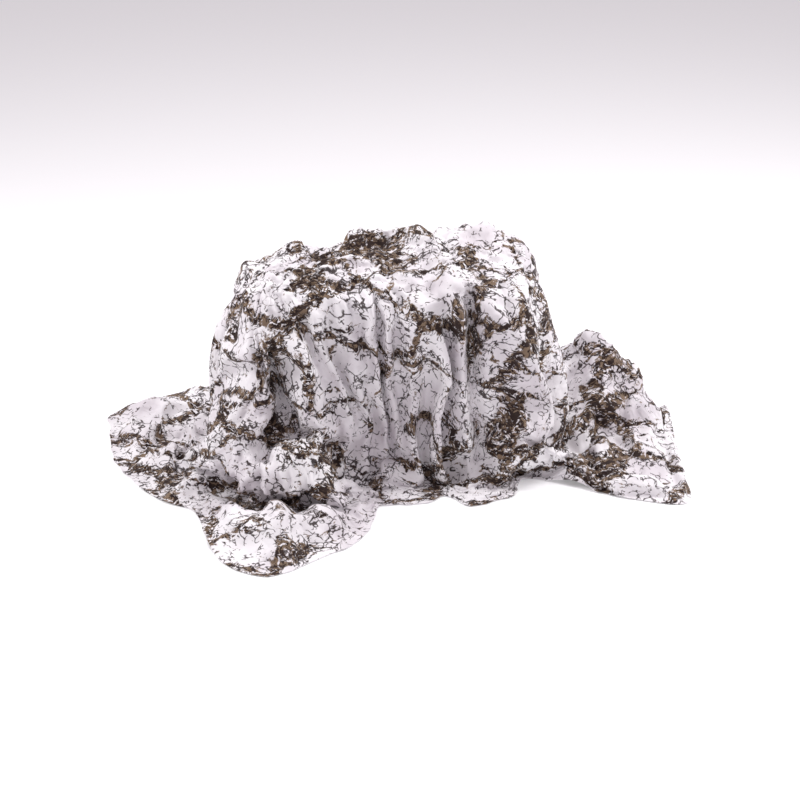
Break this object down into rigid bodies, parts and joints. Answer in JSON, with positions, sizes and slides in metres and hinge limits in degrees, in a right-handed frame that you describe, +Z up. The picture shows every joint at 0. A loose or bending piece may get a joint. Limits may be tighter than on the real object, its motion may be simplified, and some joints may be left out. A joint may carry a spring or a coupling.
{
  "type": "camouflage net",
  "caption": "Draped snow camouflage cloth cover, hollow inside, with a crumpled crown, a pleated wall and a hem spread over the floor.",
  "frame": {"origin": "on the floor, under the middle of the draped cloth's box", "axes": "+Z up, -Y is the front that the picture shows, +X to the right in it"},
  "size_m": [1.2656, 0.872, 0.4889],
  "materials": {
    "snow_camouflage": "matt printed woven polyester, off-white with brown smears and dark crackle lines"
  },
  "bodies": {
    "root": {"camouflage_cloth": "snow_camouflage"}
  },
  "joints": []
}
